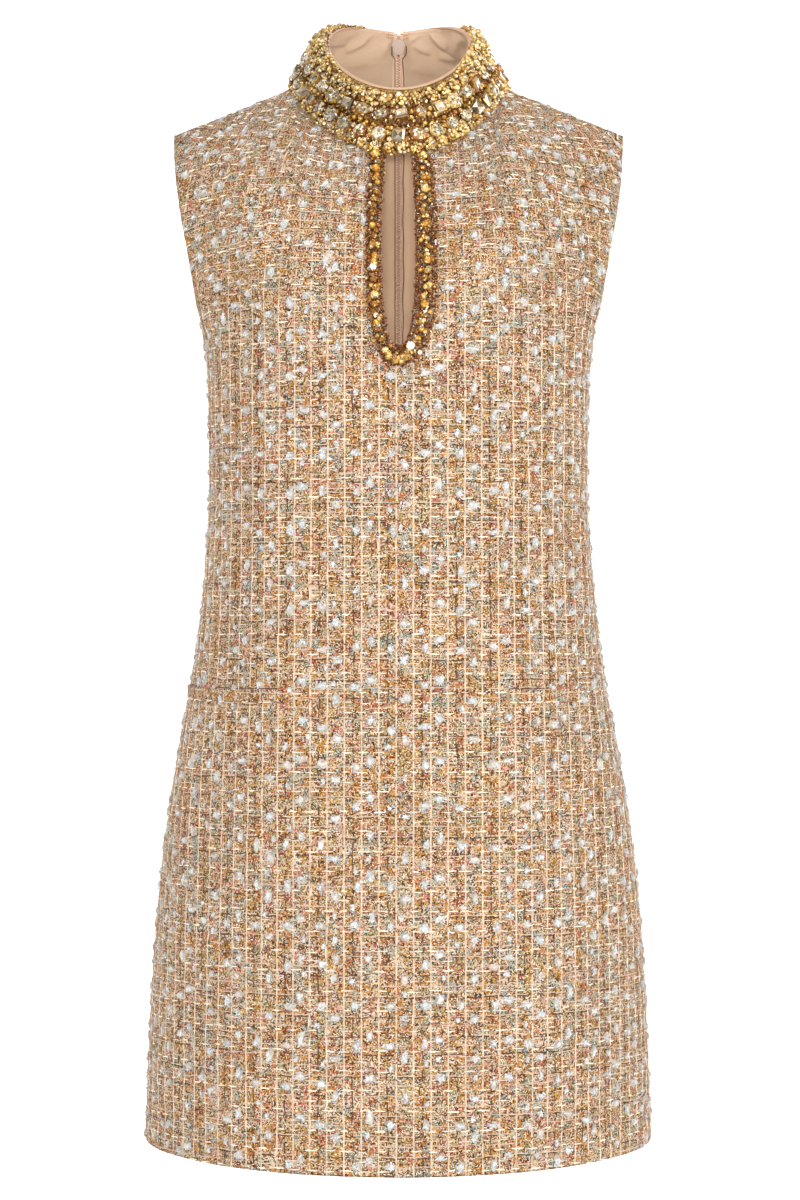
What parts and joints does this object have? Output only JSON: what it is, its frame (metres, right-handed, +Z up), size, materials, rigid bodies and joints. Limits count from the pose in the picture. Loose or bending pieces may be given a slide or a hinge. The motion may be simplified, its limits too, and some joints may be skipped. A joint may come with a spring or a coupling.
{
  "type": "a-line dress",
  "caption": "Sleeveless A-line tweed mini dress with a jewelled funnel collar, beaded keyhole, welt pockets, lining and back zip.",
  "frame": {"origin": "in the hollow, on the dress's middle plane, level with the points where the shoulder seams meet the collar", "axes": "+Z up, the wearer faces -Y, +X towards the wearer's left"},
  "size_m": [0.4038, 0.309, 0.8974],
  "materials": {
    "tweed": "boucle tweed in tan, gold and coral with cream slubs",
    "lining": "smooth beige satin",
    "gold": "polished faceted beads",
    "crystal": "foil-backed cut stones in cups",
    "bronze": "amber and dark brown seed beads",
    "zip": "woven beige tape",
    "coil": "beige nylon coil",
    "enamel": "pale pink enamel",
    "steel": "drawn wire"
  },
  "bodies": {
    "dress": {"front_panel": "tweed", "back_panel_left": "tweed", "back_panel_right": "tweed", "collar": "tweed", "pocket_welt_left": "tweed", "pocket_welt_right": "tweed", "front_lining": "lining", "back_lining_left": "lining", "back_lining_right": "lining", "collar_lining": "lining", "collar_gold_beads_lower": "gold", "collar_gold_beads_middle": "gold", "collar_gold_beads_upper": "gold", "collar_crystals_lower": "crystal", "collar_crystals_upper": "crystal", "keyhole_beading": "bronze", "zip_tape_left": "zip", "zip_tape_right": "zip", "zip_coil": "coil", "zip_slider": "enamel", "zip_bottom_stop": "enamel", "collar_hook": "steel", "collar_eye": "steel"},
    "zip_pull": {"zip_pull": "enamel"}
  },
  "joints": [
    {"name": "zip_pull_swing", "type": "hinge", "parent": "dress", "child": "zip_pull", "pos_m": [0, 0.05608, 0.05011], "axis": [1, 0, 0], "range_deg": [0, 165]}
  ]
}
